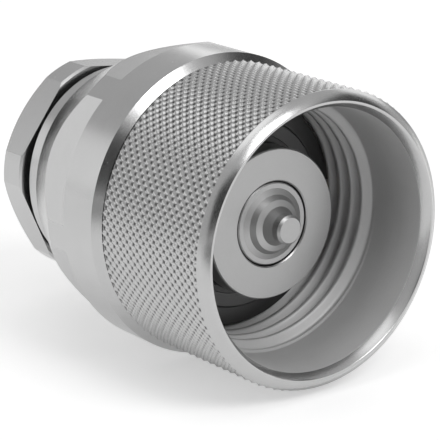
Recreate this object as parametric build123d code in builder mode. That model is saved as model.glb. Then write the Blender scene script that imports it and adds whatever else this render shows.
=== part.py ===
from build123d import *
import os
from math import cos, pi, radians, sin, tan

# Male half of a screw-to-connect hydraulic coupling with a compression tube end.
# Millimetres. The common axis is X, the mating side points to +X, and the nose's wall starts at X = 0.
# Every turned piece is drawn as (x, radius) points and spun about X.

os.makedirs("parts", exist_ok=True)

# fits between pieces
running = 0.05
screwed = 0.10
seat_gap = 0.03
side_gap = 0.05

# poppet head and the nose around it
seat_bore_r = 7.5
poppet_gap = 0.25
poppet_recess = 0.15
nose_ring_width = 5.7
nose_length = 7.9
nose_edge_chamfer = 0.2
seat_land = 2.1
seat_width = 2.3
head_cone_length = 0.8
pin_tip_r = 2.6
pin_length = 4.95

# seal, retainer and lock nut on the poppet
seal_thickness = 1.6
seal_side_gap = 0.6
retainer_thickness = 1.6
retainer_setback = 0.6
boss_step = 1.8
stem_r = 3.0
stem_overhang = 4.0
lock_nut_af = 10.0
lock_nut_length = 3.0

# valve spring and its washer
spring_bore_gap = 2.25
spring_wire_r = 0.65
spring_coils = 5.5
spring_washer_margin = 0.65
spring_washer_thickness = 0.6

# guide and its ring
guide_length = 4.0
guide_rim_width = 1.35
guide_hub_wall = 2.4
guide_arm_width = 3.0
guide_ring_thickness = 1.2
guide_ring_depth = 0.9
guide_ring_lip = 1.5
guide_ring_opening = 4.0
housing_rear_land = 1.7

# valve housing
housing_wall = 3.1
housing_thread_step = 1.3
housing_thread_length = 12.1
seal_groove_setback = 1.2
seal_groove_length = 3.4
seal_groove_depth = 1.4
seal_rear_land = 2.4
backup_length = 1.3

# journal that carries the sleeve, its snap ring, washer and dust ring
funnel_length = 2.0
journal_wall = 2.8
journal_front_land = 1.09
snap_thickness = 1.6
snap_groove_depth = 1.0
snap_width = 4.15
snap_opening = 5.0
washer_thickness = 0.8
washer_overhang = 0.3
dust_wire_r = 0.8
dust_ring_setback = 4.6
dust_groove_depth = 1.1
grub_r = 1.25
grub_length = 2.4
grub_setback = 0.3

# coupling sleeve
lip_length = 2.0
washer_thread_gap = 0.4
thread_depth = 1.6
thread_pitch = 3.0
thread_length = 12.0
lead_step = 0.1
lead_relief_length = 4.7
lead_bore_length = 7.2
inner_chamfer_length = 1.8
inner_chamfer_width = 1.0
sleeve_wall = 3.4
outer_chamfer_length = 1.5
outer_chamfer_width = 2.0
rear_edge_chamfer = 0.4
knurl_count = 60
knurl_depth = 0.4
knurl_angle = 30.0

# main body behind the sleeve
sleeve_collar_gap = 0.4
collar_step = 1.0
collar_length = 9.6
collar_chamfer_width = 1.5
collar_chamfer_length = 1.1
flats_length = 4.8
flat_depth = 2.5
wrench_turn = -22.5
taper_length = 13.6
taper_rear_wall = 8.2
taper_edge_chamfer = 0.4

# tube stud for a tube of 20 mm outside diameter
tube_r = 10.0
tube_wall = 2.0
shank_wall = 2.5
shank_length = 7.6
stud_groove_setback = 1.3
stud_groove_length = 2.2
stud_groove_depth = 1.4
flange_length = 4.1
flange_width = 4.4
flange_edge_chamfer = 0.3
neck_length = 1.1
neck_depth = 1.4
cone_step = 1.45
stud_rim_width = 3.55
stud_thread_length = 7.4
stud_edge_chamfer = 0.8
socket_depth = 0.4
cone_half_angle = 12.0

# cutting ring and union nut
ring_reach = 5.9
ring_collar_step = 1.25
ring_collar_length = 1.9
ring_rear_chamfer = 1.4
nut_front_gap = 0.1
nut_wall = 4.0
nut_turn = -6.2
nut_hex_length = 5.8
nut_land_rise = 1.5
nut_edge_chamfer = 0.4
nut_cone_length = 7.0
nut_rear_rim = 3.5
nut_hole_gap = 0.3

ARMS = 3
HEX_SIDES = 6


def turn(points, mode=Mode.ADD):
    """Spin a closed (x, radius) outline about X inside the current part."""
    with BuildSketch(Plane.XY) as outline:
        with BuildLine():
            Polyline(*points, close=True)
        make_face()
    revolve(outline.sketch, axis=Axis.X, mode=mode)


def section_at(x):
    """Plane across the axis at x, its normal to +X, drawn with +Y to the right and +Z up."""
    return Plane(origin=(x, 0, 0), x_dir=(0, 1, 0), z_dir=(1, 0, 0))


def across_corners(across_flats):
    """Radius over the corners of a hexagon."""
    return across_flats / 2 / cos(pi / HEX_SIDES)


def wire_ring(x, mean_r, wire_r):
    """Round ring about X inside the current part."""
    with BuildSketch(Plane.XY) as section:
        with Locations((x, mean_r)):
            Circle(wire_r)
    revolve(section.sketch, axis=Axis.X)


def finish(part, label):
    """Name a finished piece and write its file."""
    part.label = label
    export_step(part, "parts/" + label + ".step")


# radii from the poppet outwards
poppet_r = seat_bore_r - poppet_gap
nose_r = seat_bore_r + nose_ring_width
valve_bore_r = seat_bore_r + seat_width
housing_plain_r = valve_bore_r + housing_wall
housing_thread_r = housing_plain_r + housing_thread_step
journal_r = housing_thread_r + journal_wall
snap_groove_r = journal_r - snap_groove_depth
snap_outer_r = snap_groove_r + running + snap_width
washer_outer_r = snap_outer_r + washer_overhang
thread_crest_r = washer_outer_r + washer_thread_gap
thread_root_r = thread_crest_r + thread_depth
lead_bore_r = thread_root_r + lead_step
knurl_r = lead_bore_r + sleeve_wall
collar_r = knurl_r + collar_step

# stations from the nose backwards
nose_face_x = nose_edge_chamfer
journal_front_x = -nose_length
snap_front_x = journal_front_x - journal_front_land - side_gap
snap_rear_x = snap_front_x - snap_thickness
washer_front_x = snap_rear_x - seat_gap
washer_rear_x = washer_front_x - washer_thickness
lip_front_x = washer_rear_x - seat_gap
sleeve_rear_x = lip_front_x - lip_length
collar_front_x = sleeve_rear_x - sleeve_collar_gap
flats_front_x = collar_front_x - collar_length
taper_front_x = flats_front_x - flats_length
taper_rear_x = taper_front_x - taper_length

# stations inside the valve housing
housing_thread_rear_x = journal_front_x - housing_thread_length
seal_groove_front_x = housing_thread_rear_x - seal_groove_setback
seal_groove_rear_x = seal_groove_front_x - seal_groove_length
housing_rear_x = seal_groove_rear_x - seal_rear_land
guide_groove_rear_x = housing_rear_x + housing_rear_land
guide_ring_rear_x = guide_groove_rear_x + side_gap
guide_ring_front_x = guide_ring_rear_x + guide_ring_thickness
guide_rear_x = guide_ring_front_x + seat_gap
guide_front_x = guide_rear_x + guide_length

# coupling sleeve
thread_front_x = lip_front_x + thread_length
lead_rear_x = thread_front_x + lead_relief_length
lead_front_x = lead_rear_x + lead_bore_length
rim_x = lead_front_x + inner_chamfer_length
lip_r = journal_r + running
ridge_root = 0.3
ridge_foot_half = 0.417 * thread_pitch
ridge_crest_half = 0.117 * thread_pitch
ridge_length = thread_length - thread_pitch


def knurled_bar(rear_x, front_x):
    """Bar with a diamond knurl: flat facets rise from the grooves to the tips between them."""
    half_width = pi / knurl_count
    rows = round((front_x - rear_x) * tan(radians(knurl_angle)) / (knurl_r * half_width))

    def corner(row, column):
        """Corner of the facets, a tip where row and column add up to an odd number."""
        radius = knurl_r - knurl_depth * ((row + column + 1) % 2)
        angle = half_width * (column % (2 * knurl_count))
        return Vector(rear_x + (front_x - rear_x) * row / rows, radius * cos(angle), radius * sin(angle))

    facets = []
    for row in range(rows):
        for column in range(2 * knurl_count):
            shift = (row + column) % 2
            near = column + shift
            far = column + 1 - shift
            groove = [corner(row, near), corner(row + 1, far)]
            facets.append(Face(Wire.make_polygon([*groove, corner(row, far)])))
            facets.append(Face(Wire.make_polygon([*groove, corner(row + 1, near)])))
    for row in (0, rows):
        facets.append(Face(Wire.make_polygon([corner(row, column) for column in range(2 * knurl_count)])))
    return Solid(Shell(facets))


with BuildPart() as sleeve:
    turn([
        (sleeve_rear_x, lip_r),
        (lip_front_x, lip_r),
        (lip_front_x, thread_root_r),
        (lead_rear_x, thread_root_r),
        (lead_rear_x, lead_bore_r),
        (lead_front_x, lead_bore_r),
        (rim_x, lead_bore_r + inner_chamfer_width),
        (rim_x, knurl_r - outer_chamfer_width),
        (rim_x - 2 * outer_chamfer_length, knurl_r + outer_chamfer_width),
        (sleeve_rear_x + outer_chamfer_width + rear_edge_chamfer, knurl_r + outer_chamfer_width),
        (sleeve_rear_x, knurl_r - rear_edge_chamfer),
    ])
    with BuildLine() as ridge_path:
        Helix(
            thread_pitch,
            ridge_length,
            thread_root_r + ridge_root,
            center=(lip_front_x + thread_pitch / 2, 0, 0),
            direction=(1, 0, 0),
        )
    ridge_start = ridge_path.line @ 0
    outward = Vector(0, ridge_start.Y, ridge_start.Z).normalized()
    with BuildSketch(Plane(origin=ridge_start, x_dir=outward, z_dir=ridge_path.line % 0)):
        with BuildLine():
            Polyline(
                (0, -ridge_foot_half),
                (0, ridge_foot_half),
                (-thread_depth - ridge_root, ridge_crest_half),
                (-thread_depth - ridge_root, -ridge_crest_half),
                close=True,
            )
        make_face()
    sweep(path=ridge_path.line, is_frenet=True)
    # the turned outline stands outside the knurl, so its end chamfers cut across the grooves
    add(knurled_bar(sleeve_rear_x - 1, rim_x + 1), mode=Mode.INTERSECT)
finish(sleeve.part, "coupling_sleeve")

# washer and snap ring in front of the sleeve's lip
with BuildPart() as thrust_washer:
    turn([
        (washer_rear_x, journal_r + running),
        (washer_front_x, journal_r + running),
        (washer_front_x, washer_outer_r),
        (washer_rear_x, washer_outer_r),
    ])
finish(thrust_washer.part, "sleeve_thrust_washer")

with BuildPart() as snap_ring:
    turn([
        (snap_rear_x, snap_groove_r + running),
        (snap_front_x, snap_groove_r + running),
        (snap_front_x, snap_outer_r),
        (snap_rear_x, snap_outer_r),
    ])
    with BuildSketch(section_at(snap_rear_x)):
        with Locations((snap_outer_r, 0)):
            Rectangle(snap_outer_r, snap_opening)
    extrude(amount=snap_thickness, mode=Mode.SUBTRACT)
finish(snap_ring.part, "sleeve_retaining_ring")

# main body: journal, collar, wrench flats and taper
dust_mean_r = journal_r + dust_ring_setback
dust_half = dust_wire_r + running
dust_floor_x = collar_front_x - dust_groove_depth
passage_r = tube_r - tube_wall
shank_r = tube_r + shank_wall
shank_front_x = taper_rear_x + shank_length
stud_bore_r = shank_r + screwed
stud_bore_front_x = shank_front_x + 0.3
housing_bore_front_r = housing_thread_r + screwed
housing_bore_rear_r = housing_plain_r + running
bore_step_x = housing_thread_rear_x - 0.4
counterbore_rear_x = housing_rear_x - 0.3
funnel_rear_x = counterbore_rear_x - funnel_length
grub_x = collar_front_x + grub_setback + grub_r
wrench_af = 2 * (collar_r - flat_depth)

with BuildPart() as body:
    turn([
        (journal_front_x, housing_bore_front_r),
        (journal_front_x, journal_r - 0.4),
        (journal_front_x - 0.4, journal_r),
        (snap_front_x + side_gap, journal_r),
        (snap_front_x + side_gap, snap_groove_r),
        (snap_rear_x - side_gap, snap_groove_r),
        (snap_rear_x - side_gap, journal_r),
        (collar_front_x, journal_r),
        (collar_front_x, dust_mean_r - dust_half),
        (dust_floor_x, dust_mean_r - dust_half),
        (dust_floor_x, dust_mean_r + dust_half),
        (collar_front_x, dust_mean_r + dust_half),
        (collar_front_x, collar_r - collar_chamfer_width),
        (collar_front_x - collar_chamfer_length, collar_r),
        (taper_front_x, collar_r),
        (taper_rear_x + taper_edge_chamfer, shank_r + taper_rear_wall),
        (taper_rear_x, shank_r + taper_rear_wall - taper_edge_chamfer),
        (taper_rear_x, stud_bore_r),
        (stud_bore_front_x, stud_bore_r),
        (stud_bore_front_x, passage_r),
        (funnel_rear_x, passage_r),
        (counterbore_rear_x, valve_bore_r),
        (counterbore_rear_x, housing_bore_rear_r),
        (bore_step_x, housing_bore_rear_r),
        (bore_step_x, housing_bore_front_r),
    ])
    with BuildSketch(section_at(taper_rear_x)):
        Circle(collar_r + 1)
        RegularPolygon(
            across_corners(wrench_af),
            HEX_SIDES,
            rotation=wrench_turn + 30,
            mode=Mode.SUBTRACT,
        )
    extrude(amount=flats_front_x - taper_rear_x, mode=Mode.SUBTRACT)
    with BuildSketch(Plane(origin=(grub_x, 0, 0), x_dir=(1, 0, 0), z_dir=(0, 0, 1))):
        Circle(grub_r)
    extrude(amount=journal_r + 1, mode=Mode.SUBTRACT)
finish(body.part, "main_body")

# tube stud: shank in the body, flange against its rear face, thread for the nut, 24 degree cone
flange_front_x = taper_rear_x
neck_front_x = flange_front_x - flange_length
stud_front_x = neck_front_x - neck_length
stud_rear_x = stud_front_x - stud_thread_length
tube_stop_x = flange_front_x - socket_depth
cone_mouth_r = tube_r + cone_step
stud_r = cone_mouth_r + stud_rim_width
flange_r = stud_r + flange_width
socket_r = tube_r + running
slope = tan(radians(cone_half_angle))
cone_front_x = stud_rear_x + (cone_mouth_r - socket_r) / slope
stud_groove_r = shank_r - stud_groove_depth
stud_groove_rear_x = flange_front_x + stud_groove_setback
stud_groove_front_x = stud_groove_rear_x + stud_groove_length

with BuildPart() as stud:
    turn([
        (shank_front_x, passage_r),
        (shank_front_x, shank_r - 0.6),
        (shank_front_x - 0.6, shank_r),
        (stud_groove_front_x, shank_r),
        (stud_groove_front_x, stud_groove_r),
        (stud_groove_rear_x, stud_groove_r),
        (stud_groove_rear_x, shank_r),
        (flange_front_x, shank_r),
        (flange_front_x, flange_r),
        (neck_front_x + flange_edge_chamfer, flange_r),
        (neck_front_x, flange_r - flange_edge_chamfer),
        (neck_front_x, stud_r - neck_depth),
        (stud_front_x, stud_r - neck_depth),
        (stud_front_x, stud_r),
        (stud_rear_x + stud_edge_chamfer, stud_r),
        (stud_rear_x, stud_r - stud_edge_chamfer),
        (stud_rear_x, cone_mouth_r),
        (cone_front_x, socket_r),
        (tube_stop_x, socket_r),
        (tube_stop_x, passage_r),
    ])
finish(stud.part, "tube_stud")

with BuildPart() as stud_seal:
    wire_ring(
        (stud_groove_front_x + stud_groove_rear_x) / 2,
        (stud_bore_r + stud_groove_r) / 2,
        (stud_bore_r - stud_groove_r - seat_gap) / 2,
    )
finish(stud_seal.part, "tube_stud_seal")

# dust ring between collar and sleeve
with BuildPart() as dust_ring:
    wire_ring(dust_floor_x + dust_wire_r, dust_mean_r, dust_wire_r)
finish(dust_ring.part, "sleeve_dust_ring")

# grub screw that locks the housing's thread
grub_foot = housing_thread_r + seat_gap
with BuildPart() as grub:
    with BuildSketch(Plane(origin=(grub_x, 0, grub_foot), x_dir=(1, 0, 0), z_dir=(0, 0, 1))):
        Circle(grub_r - running)
    extrude(amount=grub_length)
    with BuildSketch(Plane(origin=(grub_x, 0, grub_foot + grub_length), x_dir=(1, 0, 0), z_dir=(0, 0, -1))):
        RegularPolygon(grub_r * 0.56, HEX_SIDES)
    extrude(amount=grub_length / 2, mode=Mode.SUBTRACT)
finish(grub.part, "housing_lock_screw")

# valve housing with the nose
seat_front_x = nose_face_x - seat_land
with BuildPart() as housing:
    turn([
        (nose_face_x, seat_bore_r + nose_edge_chamfer),
        (nose_face_x, nose_r - nose_edge_chamfer),
        (nose_face_x - nose_edge_chamfer, nose_r),
        (journal_front_x, nose_r),
        (journal_front_x, housing_thread_r),
        (housing_thread_rear_x, housing_thread_r),
        (housing_thread_rear_x, housing_plain_r),
        (seal_groove_front_x, housing_plain_r),
        (seal_groove_front_x, housing_plain_r - seal_groove_depth),
        (seal_groove_rear_x, housing_plain_r - seal_groove_depth),
        (seal_groove_rear_x, housing_plain_r),
        (housing_rear_x, housing_plain_r),
        (housing_rear_x, valve_bore_r),
        (guide_groove_rear_x, valve_bore_r),
        (guide_groove_rear_x, valve_bore_r + guide_ring_depth),
        (guide_rear_x, valve_bore_r + guide_ring_depth),
        (guide_rear_x, valve_bore_r),
        (seat_front_x - seat_width, valve_bore_r),
        (seat_front_x, seat_bore_r),
        (nose_face_x - nose_edge_chamfer, seat_bore_r),
    ])
finish(housing.part, "valve_housing")

# O-ring and backup ring between housing and body
seal_groove_r = housing_plain_r - seal_groove_depth
o_ring_r = (housing_bore_rear_r - seal_groove_r - seat_gap) / 2
backup_front_x = seal_groove_front_x - seat_gap
with BuildPart() as o_ring:
    wire_ring(
        seal_groove_rear_x + o_ring_r + side_gap,
        (housing_bore_rear_r + seal_groove_r) / 2,
        o_ring_r,
    )
finish(o_ring.part, "housing_o_ring")

with BuildPart() as backup_ring:
    turn([
        (backup_front_x - backup_length, seal_groove_r + seat_gap),
        (backup_front_x, seal_groove_r + seat_gap),
        (backup_front_x, housing_plain_r - seat_gap),
        (backup_front_x - backup_length, housing_plain_r - seat_gap),
    ])
finish(backup_ring.part, "housing_backup_ring")

# poppet: pin and steps in front, cone behind, boss and stem
cone_line = seat_bore_r + seat_front_x - 2 * seat_gap
head_face_x = nose_face_x - poppet_recess
head_rear_x = seat_front_x - head_cone_length
boss_r = stem_r + boss_step
boss_rear_x = head_rear_x - seal_thickness
stem_rear_x = guide_rear_x - stem_overhang
pin_tip_x = head_face_x + pin_length
with BuildPart() as poppet:
    turn([
        (stem_rear_x, 0),
        (pin_tip_x, 0),
        (pin_tip_x, pin_tip_r - 0.4),
        (pin_tip_x - 0.4, pin_tip_r),
        (head_face_x + 0.64 * pin_length, pin_tip_r),
        (head_face_x + 0.34 * pin_length, pin_tip_r + 0.17 * poppet_r - 0.4),
        (head_face_x + 0.26 * pin_length, 0.62 * poppet_r),
        (head_face_x + 0.09 * pin_length, 0.72 * poppet_r),
        (head_face_x, 0.86 * poppet_r),
        (head_face_x, poppet_r - 0.2),
        (head_face_x - 0.2, poppet_r),
        (cone_line - poppet_r, poppet_r),
        (head_rear_x, cone_line - head_rear_x),
        (head_rear_x, boss_r),
        (boss_rear_x, boss_r),
        (boss_rear_x, stem_r),
        (stem_rear_x + 0.5, stem_r),
        (stem_rear_x, stem_r - 0.5),
    ])
finish(poppet.part, "poppet")

# seal, retainer and lock nut behind the poppet's head
seal_outer_r = valve_bore_r - seal_side_gap
with BuildPart() as poppet_seal:
    turn([
        (head_rear_x - seat_gap, boss_r + seat_gap),
        (head_rear_x - seat_gap, cone_line - head_rear_x),
        (cone_line - seal_outer_r, seal_outer_r),
        (boss_rear_x + seat_gap, seal_outer_r),
        (boss_rear_x + seat_gap, boss_r + seat_gap),
    ])
finish(poppet_seal.part, "poppet_seal")

retainer_rear_x = boss_rear_x - retainer_thickness
retainer_r = seal_outer_r - retainer_setback
with BuildPart() as seal_retainer:
    turn([
        (boss_rear_x, stem_r + running),
        (boss_rear_x, retainer_r),
        (retainer_rear_x, retainer_r),
        (retainer_rear_x, stem_r + running),
    ])
finish(seal_retainer.part, "seal_retainer")

with BuildPart() as lock_nut:
    with BuildSketch(section_at(retainer_rear_x)):
        RegularPolygon(across_corners(lock_nut_af), HEX_SIDES)
        Circle(stem_r + running, mode=Mode.SUBTRACT)
    extrude(amount=-lock_nut_length)
finish(lock_nut.part, "seal_lock_nut")

# spring between retainer and guide
spring_mean_r = valve_bore_r - spring_bore_gap - spring_wire_r
spring_front_x = retainer_rear_x - seat_gap - spring_wire_r
spring_rear_x = guide_front_x + spring_washer_thickness + seat_gap + spring_wire_r
spring_length = spring_front_x - spring_rear_x
with BuildPart() as spring:
    with BuildLine() as spring_path:
        Helix(
            spring_length / spring_coils,
            spring_length,
            spring_mean_r,
            center=(spring_rear_x, 0, 0),
            direction=(1, 0, 0),
        )
    with BuildSketch(Plane(origin=spring_path.line @ 0, z_dir=spring_path.line % 0)):
        Circle(spring_wire_r)
    sweep(path=spring_path.line, is_frenet=True)
finish(spring.part, "poppet_spring")

spring_washer_r = spring_mean_r + spring_wire_r + spring_washer_margin
with BuildPart() as spring_washer:
    turn([
        (guide_front_x, stem_r + 0.4),
        (guide_front_x + spring_washer_thickness, stem_r + 0.4),
        (guide_front_x + spring_washer_thickness, spring_washer_r),
        (guide_front_x, spring_washer_r),
    ])
finish(spring_washer.part, "spring_seat_washer")

# guide with three arms
guide_outer_r = valve_bore_r - running
guide_rim_inner_r = guide_outer_r - guide_rim_width
hub_r = stem_r + guide_hub_wall
with BuildPart() as guide:
    with BuildSketch(section_at(guide_rear_x)):
        Circle(guide_outer_r)
        Circle(guide_rim_inner_r, mode=Mode.SUBTRACT)
        Circle(hub_r)
        with PolarLocations((hub_r + guide_rim_inner_r) / 2, ARMS):
            Rectangle(guide_rim_inner_r - hub_r + guide_rim_width, guide_arm_width)
        Circle(stem_r + running, mode=Mode.SUBTRACT)
    extrude(amount=guide_length)
finish(guide.part, "poppet_guide")

guide_ring_outer_r = valve_bore_r + guide_ring_depth - running
with BuildPart() as guide_ring:
    turn([
        (guide_ring_rear_x, valve_bore_r - guide_ring_lip),
        (guide_ring_front_x, valve_bore_r - guide_ring_lip),
        (guide_ring_front_x, guide_ring_outer_r),
        (guide_ring_rear_x, guide_ring_outer_r),
    ])
    with BuildSketch(section_at(guide_ring_rear_x)):
        with Locations((0, -guide_ring_outer_r)):
            Rectangle(guide_ring_opening, guide_ring_outer_r)
    extrude(amount=guide_ring_thickness, mode=Mode.SUBTRACT)
finish(guide_ring.part, "guide_retaining_ring")

# cutting ring between stud and nut
ring_front_x = stud_rear_x + ring_reach
ring_collar_front_x = stud_rear_x - 0.1
ring_collar_rear_x = ring_collar_front_x - ring_collar_length
ring_rear_x = ring_collar_rear_x - ring_rear_chamfer
ring_collar_r = cone_mouth_r + ring_collar_step


def cone_r(x):
    """Radius of the stud's inner cone at x."""
    return cone_mouth_r - (x - stud_rear_x) * slope


with BuildPart() as cutting_ring:
    turn([
        (ring_front_x, socket_r),
        (ring_front_x, cone_r(ring_front_x) - seat_gap),
        (ring_collar_front_x, cone_r(ring_collar_front_x) - seat_gap),
        (ring_collar_front_x, ring_collar_r),
        (ring_collar_rear_x, ring_collar_r),
        (ring_rear_x, ring_collar_r - ring_rear_chamfer),
        (ring_rear_x, socket_r),
    ])
finish(cutting_ring.part, "cutting_ring")

# union nut: flats cut on a round bar, thread in front, 45 degree cone behind, hole for the tube
nut_af = 2 * (stud_r + nut_wall)
nut_front_x = stud_front_x - nut_front_gap
nut_hex_rear_x = nut_front_x - nut_hex_length
nut_rear_x = nut_hex_rear_x - nut_cone_length
nut_land_r = nut_af / 2 + nut_land_rise
nut_edge_r = nut_land_r - nut_edge_chamfer
nut_thread_r = stud_r + screwed
nut_thread_rear_x = stud_rear_x - 0.7
nut_hole_r = tube_r + nut_hole_gap
nut_cone_front_r = ring_collar_r + 2 * seat_gap
nut_cone_rear_x = ring_collar_rear_x - (nut_cone_front_r - nut_hole_r)
with BuildPart() as union_nut:
    with BuildSketch(section_at(nut_rear_x)):
        RegularPolygon(across_corners(nut_af), HEX_SIDES, rotation=nut_turn)
    extrude(amount=nut_front_x - nut_rear_x)
    turn([
        (nut_front_x, 0),
        (nut_front_x, nut_edge_r),
        (nut_front_x - nut_edge_chamfer, nut_land_r),
        (nut_hex_rear_x + nut_edge_chamfer, nut_land_r),
        (nut_hex_rear_x, nut_edge_r),
        (nut_rear_x, tube_r + nut_rear_rim),
        (nut_rear_x, 0),
    ], mode=Mode.INTERSECT)
    turn([
        (nut_front_x, 0),
        (nut_front_x, nut_thread_r + 0.5),
        (nut_front_x - 0.5, nut_thread_r),
        (nut_thread_rear_x, nut_thread_r),
        (nut_thread_rear_x, nut_cone_front_r + running),
        (ring_collar_rear_x, nut_cone_front_r + running),
        (ring_collar_rear_x, nut_cone_front_r),
        (nut_cone_rear_x, nut_hole_r),
        (nut_rear_x, nut_hole_r),
        (nut_rear_x, 0),
    ], mode=Mode.SUBTRACT)
finish(union_nut.part, "union_nut")
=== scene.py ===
"""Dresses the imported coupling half: knurled sleeve, turned steel finishes, studio and camera."""

import math

import bmesh
import bpy
from mathutils import Matrix, Vector


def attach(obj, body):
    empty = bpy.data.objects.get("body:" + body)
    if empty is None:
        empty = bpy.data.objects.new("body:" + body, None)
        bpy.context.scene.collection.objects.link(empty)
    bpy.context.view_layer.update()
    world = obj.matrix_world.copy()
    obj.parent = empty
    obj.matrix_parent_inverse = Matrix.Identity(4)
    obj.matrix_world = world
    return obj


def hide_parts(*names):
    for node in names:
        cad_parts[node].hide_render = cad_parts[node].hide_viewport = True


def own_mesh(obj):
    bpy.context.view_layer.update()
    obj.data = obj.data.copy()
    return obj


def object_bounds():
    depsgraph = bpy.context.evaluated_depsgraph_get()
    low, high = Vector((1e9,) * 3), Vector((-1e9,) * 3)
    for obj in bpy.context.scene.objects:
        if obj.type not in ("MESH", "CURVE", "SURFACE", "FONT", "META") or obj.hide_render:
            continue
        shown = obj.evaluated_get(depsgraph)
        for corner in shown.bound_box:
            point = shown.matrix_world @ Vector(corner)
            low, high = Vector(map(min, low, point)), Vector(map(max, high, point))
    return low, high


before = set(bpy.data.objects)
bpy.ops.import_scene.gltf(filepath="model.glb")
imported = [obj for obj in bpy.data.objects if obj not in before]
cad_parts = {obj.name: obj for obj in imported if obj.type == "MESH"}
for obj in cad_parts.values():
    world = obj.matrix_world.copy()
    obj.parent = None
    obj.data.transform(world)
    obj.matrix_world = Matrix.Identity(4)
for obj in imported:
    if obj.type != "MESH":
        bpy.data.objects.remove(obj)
CAD_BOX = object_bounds()

bl_info = {
    "name": "Screw Coupling Half",
    "version": (1, 0, 0),
    "blender": (4, 5, 0),
    "location": "View3D > Sidebar > Coupling",
    "description": "Builds a knurled screw coupling half with turned steel finishes",
    "category": "Add Mesh",
}

MM = 0.001

# the sleeve's sections in millimetres: its rear face, its inner lip, and the bore's steps
SLEEVE_REAR = -13.5
LIP_FRONT = -11.5
LIP_BORE = 17.05
THREAD_FRONT = 0.5
LEAD_REAR = 5.2
# radius inside the sleeve's wall where the knurled shell and the threaded bore meet
SHELL_SPLIT = 24.4

# the inside of the coupling, which little light reaches, gets painted shade, a dark and dull colour, on the
# body's journal and behind the nose wall, and the sleeve's bore gets a lighter, duller colour as painted
# fill light
BORE_LIMIT = 22.7
JOURNAL_REAR = -13.8
NOSE_WALL = -4.0
# colour of the painted shade in the recesses and in the knurl's pits
RECESS_SHADE = (0.1, 0.1, 0.1)


class CouplingSleeveSettings(bpy.types.PropertyGroup):
    """Sizes of the knurled sleeve that a user would change."""

    knurl_radius: bpy.props.FloatProperty(
        name="Knurl radius", description="Radius over the knurl's crests", default=26.0 * MM,
        subtype="DISTANCE", unit="LENGTH", precision=5)
    knurl_depth: bpy.props.FloatProperty(
        name="Knurl depth", description="Depth of the knurl's grooves", default=0.6 * MM,
        subtype="DISTANCE", unit="LENGTH", precision=5)
    knurl_grooves: bpy.props.IntProperty(
        name="Grooves", description="Grooves each way round the sleeve", default=91, min=12)
    knurl_angle: bpy.props.FloatProperty(
        name="Groove angle", description="Angle of the grooves to the axis", default=math.radians(43.7),
        subtype="ANGLE", unit="ROTATION")
    land_front: bpy.props.FloatProperty(
        name="Land front", description="Front end of the knurled land along the axis", default=12.7 * MM,
        subtype="DISTANCE", unit="LENGTH", precision=5)
    land_rear: bpy.props.FloatProperty(
        name="Land rear", description="Rear end of the knurled land along the axis", default=-13.1 * MM,
        subtype="DISTANCE", unit="LENGTH", precision=5)
    bore_radius: bpy.props.FloatProperty(
        name="Lead bore radius", description="Radius of the smooth bore", default=22.6 * MM,
        subtype="DISTANCE", unit="LENGTH", precision=5)
    thread_root: bpy.props.FloatProperty(
        name="Thread root radius", description="Largest radius of the internal thread", default=22.5 * MM,
        subtype="DISTANCE", unit="LENGTH", precision=5)
    thread_crest: bpy.props.FloatProperty(
        name="Thread crest radius", description="Smallest radius of the internal thread", default=20.9 * MM,
        subtype="DISTANCE", unit="LENGTH", precision=5)
    thread_pitch: bpy.props.FloatProperty(
        name="Thread pitch", description="Advance of the internal thread in one turn", default=3.0 * MM,
        subtype="DISTANCE", unit="LENGTH", precision=5)


class CouplingFinishSettings(bpy.types.PropertyGroup):
    """Colours and gloss of the finishes."""

    plating: bpy.props.FloatVectorProperty(
        name="Plating", description="Colour of the zinc plating", default=(0.5, 0.5, 0.5),
        subtype="COLOR", size=3, min=0.0, max=1.0)
    bare_steel: bpy.props.FloatVectorProperty(
        name="Bare steel", description="Colour of the turned valve pieces", default=(0.44, 0.44, 0.44),
        subtype="COLOR", size=3, min=0.0, max=1.0)
    gloss: bpy.props.FloatProperty(
        name="Roughness", description="Mean roughness of the plating", default=0.25, min=0.0, max=1.0)


class CouplingStageSettings(bpy.types.PropertyGroup):
    """Camera and studio."""

    view_azimuth: bpy.props.FloatProperty(
        name="Azimuth", description="Turn of the camera about the vertical", default=math.radians(52.4),
        subtype="ANGLE", unit="ROTATION")
    view_elevation: bpy.props.FloatProperty(
        name="Elevation", description="Height of the camera above the horizon", default=math.radians(16.7),
        subtype="ANGLE", unit="ROTATION")
    view_distance: bpy.props.FloatProperty(
        name="Distance", description="Camera to the sleeve's rim along the view", default=363.5 * MM,
        subtype="DISTANCE", unit="LENGTH", precision=5)
    view_offset: bpy.props.FloatVectorProperty(
        name="Offset", description="Rim to the right of and below the middle of the view",
        default=(17.49 * MM, 3.88 * MM), size=2, subtype="TRANSLATION", unit="LENGTH", precision=5)
    lens: bpy.props.FloatProperty(
        name="Lens", description="Focal length on a 36 mm sensor", default=180.0, min=10.0, unit="CAMERA")
    rim_position: bpy.props.FloatProperty(
        name="Rim", description="Place of the sleeve's rim along the axis", default=14.2 * MM,
        subtype="DISTANCE", unit="LENGTH", precision=5)


class Socket:
    """An output socket that takes part in Python arithmetic by adding Math nodes."""

    def __init__(self, finish, socket):
        self.finish = finish
        self.socket = socket

    def _math(self, operation, *values):
        return self.finish.node("ShaderNodeMath", {"operation": operation}, *values)

    def __add__(self, other):
        return self._math("ADD", self, other)

    def __sub__(self, other):
        return self._math("SUBTRACT", self, other)

    def __rsub__(self, other):
        return self._math("SUBTRACT", other, self)

    def __mul__(self, other):
        return self._math("MULTIPLY", self, other)

    def __truediv__(self, other):
        return self._math("DIVIDE", self, other)

    def __pow__(self, other):
        return self._math("POWER", self, other)

    def clamp(self, low, high):
        return self._math("MINIMUM", self._math("MAXIMUM", self, low), high)


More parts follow.
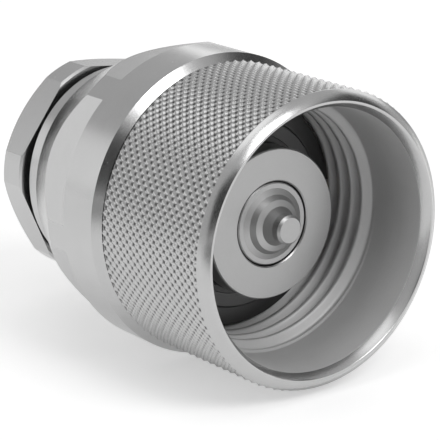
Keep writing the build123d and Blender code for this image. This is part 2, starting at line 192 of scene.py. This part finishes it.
class Finish:
    """A material's node tree, built by calls that return sockets."""

    def __init__(self, name):
        self.material = bpy.data.materials.new(name)
        self.material.use_nodes = True
        self.tree = self.material.node_tree
        self.tree.nodes.clear()

    def node(self, kind, settings=None, *inputs, output=0, **named):
        """Adds a node, gives it its settings first, then its inputs, and returns one output."""
        made = self.tree.nodes.new(kind)
        for key, value in (settings or {}).items():
            setattr(made, key, value)
        for index, value in enumerate(inputs):
            self.feed(made.inputs[index], value)
        for key, value in named.items():
            self.feed(made.inputs[key.replace("_", " ")], value)
        return Socket(self, made.outputs[output])

    def feed(self, target, value):
        if isinstance(value, Socket):
            self.tree.links.new(value.socket, target)
        elif value is not None:
            target.default_value = value

    def place(self):
        """Object coordinates, in metres."""
        return self.node("ShaderNodeTexCoord", output=3)

    def axis_and_radius(self):
        """Object coordinates, distance along the common axis, and distance from it, in metres."""
        place = self.place()
        split = self.tree.nodes.new("ShaderNodeSeparateXYZ")
        self.tree.links.new(place.socket, split.inputs[0])
        along, side, up = (Socket(self, split.outputs[i]) for i in range(3))
        radius = (side * side + up * up) ** 0.5
        return place, along, radius

    def shader(self, base, roughness, normal=None, metallic=0.0, **constants):
        principled = self.tree.nodes.new("ShaderNodeBsdfPrincipled")
        self.feed(principled.inputs["Base Color"], base)
        self.feed(principled.inputs["Roughness"], roughness)
        self.feed(principled.inputs["Metallic"], metallic)
        if normal is not None:
            self.feed(principled.inputs["Normal"], normal)
        for key, value in constants.items():
            principled.inputs[key.replace("_", " ")].default_value = value
        out = self.tree.nodes.new("ShaderNodeOutputMaterial")
        self.tree.links.new(principled.outputs[0], out.inputs[0])
        return self.material


def grey(level):
    return (level, level, level, 1.0)


def turned_steel(name, colour, roughness, marks_per_mm=9.0, mark_depth=0.004, zones=()):
    """Plated or bare steel with fine turning marks round the axis and soft mottling.

    Each zone gives another colour, roughness and metallic value where its test is 1; the zones carry the
    painted shade and painted fill light.
    """
    finish = Finish(name)
    place, along, radius = finish.axis_and_radius()
    ring_place = finish.node("ShaderNodeCombineXYZ", None, along, radius, 0.0)
    marks = finish.node(
        "ShaderNodeTexNoise", {"noise_dimensions": "2D"}, Vector=ring_place,
        Scale=marks_per_mm * 1000.0, Detail=3.0, Roughness=0.6)
    cloud = finish.node("ShaderNodeTexNoise", None, Vector=place, Scale=220.0, Detail=4.0, Roughness=0.55)
    grain = finish.node("ShaderNodeTexNoise", None, Vector=place, Scale=2600.0, Detail=2.0)
    shade = (cloud - 0.5) * 0.10 + (marks - 0.5) * 0.06 + (grain - 0.5) * 0.05 + 1.0
    tint = (*colour[:3],)
    metallic = 1.0
    for test, zone_colour, zone_roughness, zone_metallic in zones:
        inside = test(finish, along, radius)
        tint = finish.node(
            "ShaderNodeMix", {"data_type": "VECTOR"}, inside, None, None, None, tint, zone_colour, output=1)
        roughness = inside * (zone_roughness - roughness) + roughness
        metallic = inside * (zone_metallic - metallic) + metallic
    tone = finish.node("ShaderNodeVectorMath", {"operation": "SCALE"}, tint, Scale=shade)
    rough = ((cloud - 0.5) * 0.06 + (grain - 0.5) * 0.06 + roughness).clamp(0.08, 0.9)
    height = marks * 0.7 + grain * 0.3
    bump = finish.node("ShaderNodeBump", None, Strength=0.5, Distance=mark_depth * MM, Height=height)
    return finish.shader(tone, rough, bump, metallic)


def nearer_than(limit_mm):
    """Test that is 1 on surfaces nearer to the axis than the limit."""
    return lambda finish, along, radius: finish.node(
        "ShaderNodeMath", {"operation": "LESS_THAN"}, radius, limit_mm * MM)


def in_front_of(limit_mm):
    """Test that is 1 on surfaces in front of a station along the axis."""
    return lambda finish, along, radius: finish.node(
        "ShaderNodeMath", {"operation": "GREATER_THAN"}, along, limit_mm * MM)


def behind(limit_mm):
    """Test that is 1 on surfaces behind a station along the axis."""
    return lambda finish, along, radius: finish.node(
        "ShaderNodeMath", {"operation": "LESS_THAN"}, along, limit_mm * MM)


def in_knurl_pits(crest_mm, depth_mm, front_mm):
    """Test that grows from 0 to 1 towards the floor of the pits between the knurl's tips, where the painted
    shade goes.
    """
    def test(finish, along, radius):
        drop = (crest_mm * MM - radius) / (depth_mm * MM)
        pit = ((drop - 0.58) * 4.0).clamp(0.0, 1.0)
        outside = finish.node(
            "ShaderNodeMath", {"operation": "GREATER_THAN"}, radius, (crest_mm - depth_mm * 1.2) * MM)
        return pit * outside * behind(front_mm)(finish, along, radius)
    return test


def plain_solid(name, colour, roughness):
    """Rubber or plastic with a fine moulded grain."""
    finish = Finish(name)
    grain = finish.node("ShaderNodeTexNoise", None, Vector=finish.place(), Scale=900.0, Detail=3.0)
    tone = finish.node(
        "ShaderNodeVectorMath", {"operation": "SCALE"}, (*colour[:3],), Scale=(grain - 0.5) * 0.06 + 1.0)
    bump = finish.node("ShaderNodeBump", None, Strength=0.3, Distance=0.02 * MM, Height=grain)
    return finish.shader(tone, (grain - 0.5) * 0.1 + roughness, bump)


def coat(obj, material):
    obj.data.materials.clear()
    obj.data.materials.append(material)


def mark_edges(bm, limit_degrees):
    """Smooth faces, with edges sharper than the limit kept crisp."""
    limit = math.radians(limit_degrees)
    for face in bm.faces:
        face.smooth = True
    for edge in bm.edges:
        edge.smooth = len(edge.link_faces) == 2 and edge.calc_face_angle(0.0) < limit


def piece(name, bm, body, material):
    """Turns a finished bmesh into an object at the origin that rides on a body."""
    mesh = bpy.data.meshes.new(name)
    bm.to_mesh(mesh)
    bm.free()
    obj = bpy.data.objects.new(name, mesh)
    bpy.context.scene.collection.objects.link(obj)
    coat(obj, material)
    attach(obj, body)
    return obj


def spun(profile, steps):
    """A closed (along, radius) outline in millimetres, spun about X into a closed solid."""
    bm = bmesh.new()
    ring = [bm.verts.new((x * MM, 0.0, r * MM)) for x, r in profile]
    edges = [bm.edges.new((ring[i], ring[(i + 1) % len(ring)])) for i in range(len(ring))]
    bmesh.ops.spin(
        bm, geom=ring + edges, cent=(0, 0, 0), axis=(1, 0, 0), angle=math.tau, steps=steps,
        use_merge=True, use_duplicate=False)
    bmesh.ops.remove_doubles(bm, verts=bm.verts, dist=1e-7)
    bmesh.ops.recalc_face_normals(bm, faces=bm.faces)
    return bm


def between(start, end, count):
    """Evenly spaced values from start to end, both included."""
    return [start + (end - start) * i / count for i in range(count + 1)]


def groove_height(phase):
    """0 in a groove's floor, 1 on its crest, for a phase counted in grooves."""
    part = phase - math.floor(phase)
    return 1.0 - abs(2.0 * part - 1.0)


class COUPLING_OT_sleeve(bpy.types.Operator):
    """Builds the sleeve's knurled shell and its threaded bore"""

    bl_idname = "coupling.sleeve"
    bl_label = "Knurled sleeve"

    def execute(self, context):
        size = context.scene.coupling_sleeve
        finish = context.scene.coupling_finish
        crest = size.knurl_radius / MM
        depth = size.knurl_depth / MM
        # the sleeve's plating, with painted fill light (a lighter, duller colour) in the bore and painted
        # shade (a near-black colour) in the knurl's pits
        plating = turned_steel("sleeve_plating_with_painted_light", finish.plating, finish.gloss, zones=[
            (nearer_than(BORE_LIMIT), (0.56, 0.56, 0.56), 0.5, 0.3),
            (in_knurl_pits(crest, depth, size.land_front / MM), RECESS_SHADE, 0.45, 1.0)])
        front = size.land_front / MM
        rear = size.land_rear / MM
        grooves = size.knurl_grooves
        advance = math.tau * crest / grooves / math.tan(size.knurl_angle)
        rows = round((front - rear) / (advance / 8))
        advance = (front - rear) / rows * 8
        land = [(x, crest) for x in between(rear, front, rows)]
        bore = size.bore_radius / MM
        root = size.thread_root / MM
        shell = spun(
            land
            + [(12.95, 25.66), (14.05, 24.2), (14.2, 24.0), (14.2, 23.6), (14.1, 23.5), (12.5, 22.68)]
            + [(12.3, bore), (LEAD_REAR, root), (LEAD_REAR, SHELL_SPLIT)]
            + [(SLEEVE_REAR, SHELL_SPLIT), (SLEEVE_REAR, crest - 0.4)],
            grooves * 8)
        for vert in shell.verts:
            radius = math.hypot(vert.co.y, vert.co.z) / MM
            along = vert.co.x / MM
            if abs(radius - crest) > 0.01:
                continue
            turn = math.atan2(vert.co.z, vert.co.y) / math.tau * grooves
            step = (along - rear) / advance
            height = (groove_height(turn + step) + groove_height(turn - step)) / 2
            drop = depth * (1.0 - height)
            scale = (crest - drop) / crest
            vert.co.y *= scale
            vert.co.z *= scale
        mark_edges(shell, 24)
        outer = piece("sleeve_knurled_shell", shell, "sleeve", plating)

        tip = size.thread_crest / MM
        pitch = size.thread_pitch / MM
        wall_front = 2.0
        wall = [(x, root) for x in between(LIP_FRONT, wall_front, 72)]
        rest = [
            (LEAD_REAR, root), (LEAD_REAR, SHELL_SPLIT), (SLEEVE_REAR, SHELL_SPLIT),
            (SLEEVE_REAR, LIP_BORE), (LIP_FRONT, LIP_BORE)]
        thread = spun(wall + rest, 256)
        for vert in thread.verts:
            radius = math.hypot(vert.co.y, vert.co.z) / MM
            along = vert.co.x / MM
            if abs(radius - root) > 0.01 or along > wall_front + 0.01 or along < LIP_FRONT + 0.01:
                continue
            turn = math.atan2(vert.co.z, vert.co.y) / math.tau
            part = (along - THREAD_FRONT) / pitch - turn
            part -= math.floor(part)
            ridge = min(1.0, max(0.0, (0.5 - abs(part - 0.5)) * 3.2 - 0.25))
            front_fade = min(1.0, max(0.0, (THREAD_FRONT + 0.6 - along) / 1.2))
            fade = front_fade * min(1.0, (along - LIP_FRONT) / 0.8)
            scale = (root - (root - tip) * ridge * fade) / root
            vert.co.y *= scale
            vert.co.z *= scale
        mark_edges(thread, 40)
        inner = piece("sleeve_threaded_bore", thread, "sleeve", plating)
        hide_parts("coupling_sleeve")
        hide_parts("coupling_sleeve")
        return {"FINISHED"}


class COUPLING_OT_metal(bpy.types.Operator):
    """Gives every machined metal node its finish, with painted shade inside the body's and the housing's
    cavity
    """

    bl_idname = "coupling.metal"
    bl_label = "Machined metal"

    def execute(self, context):
        finish = context.scene.coupling_finish
        # the body's journal inside the sleeve gets painted shade, a dark and dull colour
        plating = turned_steel(
            "body_plating_with_painted_shade", finish.plating, finish.gloss,
            zones=[(in_front_of(JOURNAL_REAR), (0.14, 0.14, 0.14), 0.5, 0.8)])
        nut_plating = turned_steel("nut_plating", finish.plating, finish.gloss)
        # the housing behind the nose wall, deep in the cavity, gets painted shade
        facing = turned_steel(
            "nose_facing_with_painted_shade", (0.4, 0.4, 0.4), finish.gloss + 0.08, marks_per_mm=5.0,
            zones=[(behind(NOSE_WALL), RECESS_SHADE, 0.5, 0.8)])
        head = turned_steel("poppet_steel", finish.bare_steel, 0.42, marks_per_mm=3.0, mark_depth=0.012)
        turned = turned_steel("turned_steel", finish.bare_steel, 0.25, marks_per_mm=3.0, mark_depth=0.012)
        dark = turned_steel("blackened_steel", (0.12, 0.12, 0.12), 0.4)
        seat = turned_steel("spring_seat", (0.35, 0.35, 0.36), 0.3)
        brass = turned_steel("bearing_brass", (0.3, 0.25, 0.16), 0.45)
        coats = {
            "main_body": plating, "union_nut": nut_plating, "tube_stud": nut_plating,
            "valve_housing": facing, "poppet": head, "poppet_guide": turned,
            "seal_retainer": turned, "seal_lock_nut": turned,
            "sleeve_retaining_ring": dark, "guide_retaining_ring": dark, "housing_lock_screw": dark,
            "cutting_ring": dark, "sleeve_thrust_washer": brass,
            "spring_seat_washer": seat,
        }
        for name, material in coats.items():
            coat(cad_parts[name], material)
        return {"FINISHED"}


class COUPLING_OT_spring(bpy.types.Operator):
    """Makes the valve spring a piece of its own that rides on the base"""

    bl_idname = "coupling.spring"
    bl_label = "Valve spring"

    def execute(self, context):
        coil = bmesh.new()
        coil.from_mesh(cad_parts["poppet_spring"].data)
        bmesh.ops.remove_doubles(coil, verts=coil.verts, dist=1e-7)
        mark_edges(coil, 40)
        wire = turned_steel("spring_wire", (0.35, 0.35, 0.36), 0.3)
        spring = piece("valve_spring", coil, "base", wire)
        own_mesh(spring)
        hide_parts("poppet_spring")
        return {"FINISHED"}


class COUPLING_OT_seals(bpy.types.Operator):
    """Gives the rubber and plastic rings their finish"""

    bl_idname = "coupling.seals"
    bl_label = "Seals"

    def execute(self, context):
        rubber = plain_solid("seal_rubber", (0.02, 0.02, 0.02), 0.5)
        plastic = plain_solid("backup_plastic", (0.7, 0.7, 0.66), 0.4)
        for name in ("housing_o_ring", "tube_stud_seal", "sleeve_dust_ring", "poppet_seal"):
            coat(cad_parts[name], rubber)
        coat(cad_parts["housing_backup_ring"], plastic)
        return {"FINISHED"}


def stage_plane(name, size_x, size_y, place, facing, colour):
    """A flat card that faces a point, hidden from the camera, as a studio reflector or flag."""
    bm = bmesh.new()
    bmesh.ops.create_grid(bm, x_segments=1, y_segments=1, size=0.5)
    bmesh.ops.scale(bm, vec=(size_x, size_y, 1.0), verts=bm.verts)
    turn = (Vector(facing) - Vector(place)).to_track_quat("Z", "Y").to_matrix().to_4x4()
    bmesh.ops.transform(bm, matrix=Matrix.Translation(place) @ turn, verts=bm.verts)
    mesh = bpy.data.meshes.new(name)
    bm.to_mesh(mesh)
    bm.free()
    obj = bpy.data.objects.new(name, mesh)
    bpy.context.scene.collection.objects.link(obj)
    card = Finish(name)
    material = card.shader(grey(colour), 0.9, None, Specular_IOR_Level=0.1)
    coat(obj, material)
    obj.visible_camera = False
    obj.visible_shadow = False


def softbox(name, size, place, target, power):
    light = bpy.data.lights.new(name, "AREA")
    light.shape = "RECTANGLE"
    light.size, light.size_y = size
    light.energy = power
    obj = bpy.data.objects.new(name, light)
    obj.location = place
    obj.rotation_euler = (Vector(target) - Vector(place)).to_track_quat("-Z", "Y").to_euler()
    bpy.context.scene.collection.objects.link(obj)


def background(tree, strength):
    """A plain grey background shader of the world."""
    made = tree.nodes.new("ShaderNodeBackground")
    made.inputs["Color"].default_value = grey(1.0)
    made.inputs["Strength"].default_value = strength
    return made


class COUPLING_OT_stage(bpy.types.Operator):
    """Sets up floor, backdrop, lamps and camera"""

    bl_idname = "coupling.stage"
    bl_label = "Studio and camera"

    def execute(self, context):
        scene = context.scene
        stage = scene.coupling_stage
        scene.view_settings.view_transform = "Standard"

        bm = bmesh.new()
        bmesh.ops.create_grid(bm, x_segments=1, y_segments=1, size=2.0)
        bmesh.ops.translate(bm, vec=(0, 0, CAD_BOX[0][2] - 0.0002), verts=bm.verts)
        mesh = bpy.data.meshes.new("floor")
        bm.to_mesh(mesh)
        bm.free()
        floor = bpy.data.objects.new("floor", mesh)
        scene.collection.objects.link(floor)
        paper = Finish("floor_paper")
        path = paper.tree.nodes.new("ShaderNodeLightPath")
        seen = Socket(paper, path.outputs["Is Camera Ray"])
        glossy = Socket(paper, path.outputs["Is Glossy Ray"])
        through = Socket(paper, path.outputs["Is Transmission Ray"])
        lift = (seen + glossy + through).clamp(0.0, 1.0) * 0.4
        coat(floor, paper.shader(grey(0.88), 0.9, None, Specular_IOR_Level=0.1))
        principled = next(n for n in paper.tree.nodes if n.type == "BSDF_PRINCIPLED")
        distance = paper.node("ShaderNodeVectorMath", {"operation": "LENGTH"}, paper.place(), output=1)
        far = ((distance - 0.25) * 2.0).clamp(0.0, 1.0) * 0.55 + 1.0
        glow = paper.node("ShaderNodeCombineXYZ", None, far, far, far)
        paper.feed(principled.inputs["Emission Color"], glow)
        paper.feed(principled.inputs["Emission Strength"], lift)

        world = bpy.data.worlds.new("studio")
        scene.world = world
        world.use_nodes = True
        tree = world.node_tree
        tree.nodes.clear()
        rays = tree.nodes.new("ShaderNodeLightPath")
        either = tree.nodes.new("ShaderNodeMath")
        either.operation = "MAXIMUM"
        tree.links.new(rays.outputs["Is Camera Ray"], either.inputs[0])
        tree.links.new(rays.outputs["Is Transmission Ray"], either.inputs[1])
        room = background(tree, 0.45)
        mirrored = background(tree, 0.6)
        white = background(tree, 1.0)
        lit = tree.nodes.new("ShaderNodeMixShader")
        tree.links.new(rays.outputs["Is Glossy Ray"], lit.inputs[0])
        tree.links.new(room.outputs[0], lit.inputs[1])
        tree.links.new(mirrored.outputs[0], lit.inputs[2])
        mix = tree.nodes.new("ShaderNodeMixShader")
        out = tree.nodes.new("ShaderNodeOutputWorld")
        tree.links.new(either.outputs[0], mix.inputs[0])
        tree.links.new(lit.outputs[0], mix.inputs[1])
        tree.links.new(white.outputs[0], mix.inputs[2])
        tree.links.new(mix.outputs[0], out.inputs[0])

        aim = (0.0, 0.0, 0.0)
        softbox("key_softbox", (0.25, 0.3), (0.41, 0.01, 0.43), aim, 1.2)
        softbox("overhead_softbox", (0.4, 0.4), (0.05, -0.15, 0.6), aim, 0.5)
        softbox("rear_softbox", (0.5, 0.3), (-0.3, 0.45, 0.3), aim, 0.45)
        softbox("left_softbox", (0.5, 0.3), (-0.45, -0.45, 0.16), aim, 0.26)
        stage_plane("camera_side_flag", 0.7, 0.42, (0.62, -0.34, 0.22), aim, 0.02)
        stage_plane("right_flag", 0.5, 0.35, (0.25, 0.56, 0.35), aim, 0.05)
        stage_plane("rear_flag", 0.4, 0.3, (-0.7, -0.05, 0.12), aim, 0.03)
        stage_plane("floor_flag", 0.2, 0.3, (0.2, -0.15, CAD_BOX[0][2] + 0.0005), (0.2, -0.15, 1.0), 0.05)

        azimuth = stage.view_azimuth
        elevation = stage.view_elevation
        right = Vector((math.cos(azimuth), math.sin(azimuth), 0.0))
        ahead = Vector((
            -math.sin(azimuth) * math.cos(elevation),
            math.cos(azimuth) * math.cos(elevation),
            -math.sin(elevation)))
        up = right.cross(ahead)
        rim = Vector((stage.rim_position, 0.0, 0.0))
        place = rim - right * stage.view_offset[0] + up * stage.view_offset[1] - ahead * stage.view_distance
        camera = bpy.data.cameras.new("camera")
        camera.sensor_width = 36.0
        camera.lens = stage.lens
        camera.clip_start = 0.01
        camera.clip_end = 20.0
        view = bpy.data.objects.new("camera", camera)
        view.matrix_world = Matrix.Translation(place) @ Matrix((right, up, -ahead)).transposed().to_4x4()
        scene.collection.objects.link(view)
        scene.camera = view
        return {"FINISHED"}


class COUPLING_PT_panel(bpy.types.Panel):
    """Lists the steps that build the coupling half"""

    bl_idname = "COUPLING_PT_panel"
    bl_label = "Screw Coupling Half"
    bl_space_type = "VIEW_3D"
    bl_region_type = "UI"
    bl_category = "Coupling"

    def draw(self, context):
        for settings in ("coupling_sleeve", "coupling_finish", "coupling_stage"):
            box = self.layout.box()
            group = getattr(context.scene, settings)
            for name in group.__annotations__:
                box.prop(group, name)
        for step in STEPS:
            self.layout.operator(step.bl_idname)


SETTINGS = {
    "coupling_sleeve": CouplingSleeveSettings,
    "coupling_finish": CouplingFinishSettings,
    "coupling_stage": CouplingStageSettings,
}
STEPS = (
    COUPLING_OT_sleeve, COUPLING_OT_metal, COUPLING_OT_spring, COUPLING_OT_seals, COUPLING_OT_stage)


def register():
    for name, group in SETTINGS.items():
        bpy.utils.register_class(group)
        setattr(bpy.types.Scene, name, bpy.props.PointerProperty(type=group))
    for step in STEPS:
        bpy.utils.register_class(step)
    bpy.utils.register_class(COUPLING_PT_panel)


def unregister():
    bpy.utils.unregister_class(COUPLING_PT_panel)
    for step in reversed(STEPS):
        bpy.utils.unregister_class(step)
    for name, group in SETTINGS.items():
        delattr(bpy.types.Scene, name)
        bpy.utils.unregister_class(group)


def main():
    register()
    bpy.ops.coupling.sleeve()
    bpy.ops.coupling.metal()
    bpy.ops.coupling.spring()
    bpy.ops.coupling.seals()
    bpy.ops.coupling.stage()


if __name__ == "__main__":
    main()
